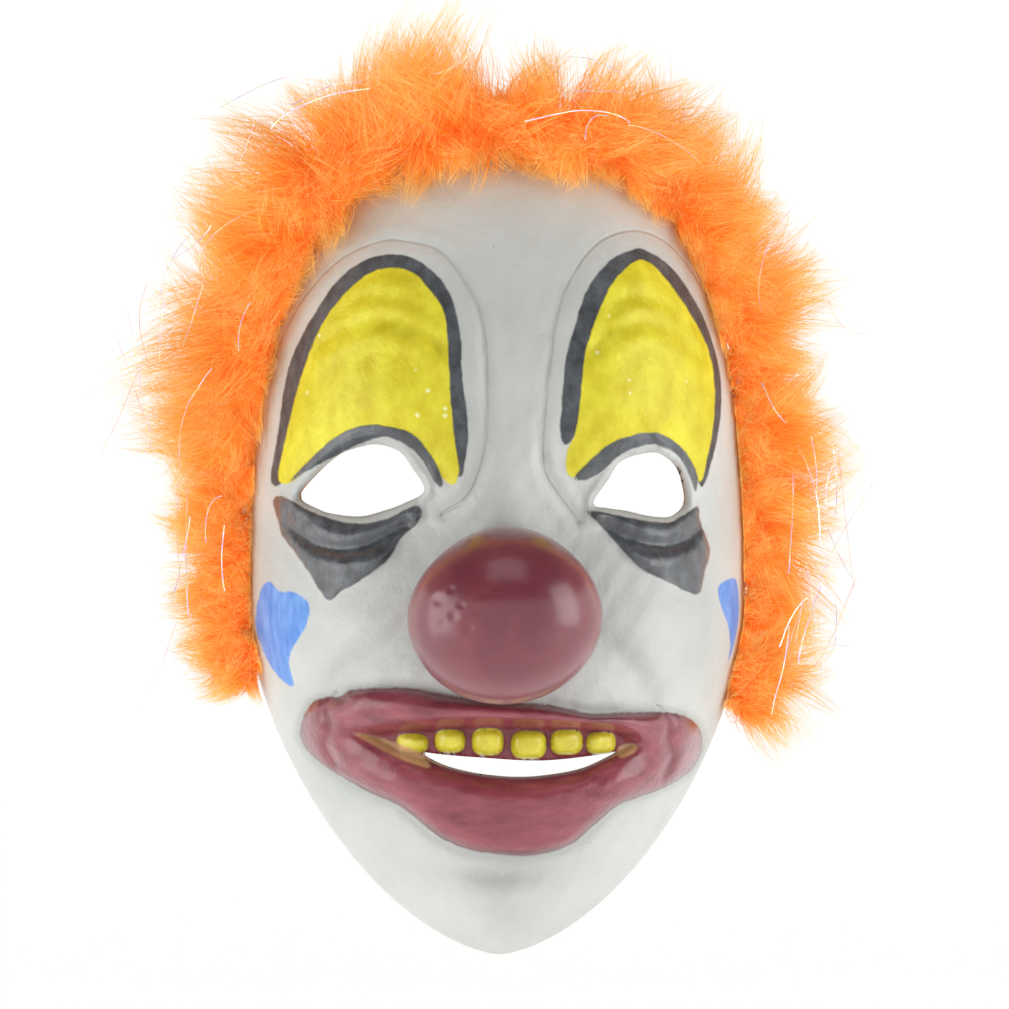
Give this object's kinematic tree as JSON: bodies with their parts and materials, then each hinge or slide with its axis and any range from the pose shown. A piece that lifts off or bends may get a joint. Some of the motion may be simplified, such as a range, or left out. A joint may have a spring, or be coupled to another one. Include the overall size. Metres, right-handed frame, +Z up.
{
  "type": "latex clown mask",
  "caption": "Painted latex clown face mask with a ball nose, open eye and mouth holes, an orange marabou wig trim with tinsel, and a riveted elastic head strap.",
  "frame": {"origin": "midway between the wearer's pupils, where the mask meets a head", "axes": "+Z up, -Y the way the face looks, +X to the right of someone who looks at the face"},
  "size_m": [0.2227, 0.2035, 0.2634],
  "materials": {
    "painted_latex": "satin",
    "nose_latex": "satin",
    "marabou": "matte",
    "boa_cord": "matte",
    "binding_thread": "matte",
    "hot_glue": "gloss",
    "tinsel_film": "gloss",
    "elastic": "matte",
    "nickel": "polished",
    "washer_nylon": "satin",
    "patch_cloth": "matte"
  },
  "bodies": {
    "mask": {"face_shell": "painted_latex", "nose_bulb": "nose_latex", "boa_core": "boa_cord", "end_whipping_right": "binding_thread", "end_whipping_left": "binding_thread", "plumes_right_side": "marabou", "plumes_right_temple": "marabou", "plumes_crown": "marabou", "plumes_left_temple": "marabou", "plumes_left_side": "marabou", "glue_beads": "hot_glue", "tinsel_strands": "tinsel_film", "rivet_post_right": "nickel", "rivet_cap_right": "nickel", "washer_right": "washer_nylon", "strap_patch_right": "patch_cloth", "rivet_post_left": "nickel", "rivet_cap_left": "nickel", "washer_left": "washer_nylon", "strap_patch_left": "patch_cloth"},
    "strap": {"elastic_strap": "elastic", "strap_eyelet_right": "nickel", "strap_eyelet_left": "nickel"}
  },
  "joints": [
    {"name": "strap_swing", "type": "hinge", "parent": "mask", "child": "strap", "pos_m": [0, 0.0435, 0.024], "axis": [1, 0, 0], "range_deg": [-60, 70]}
  ]
}
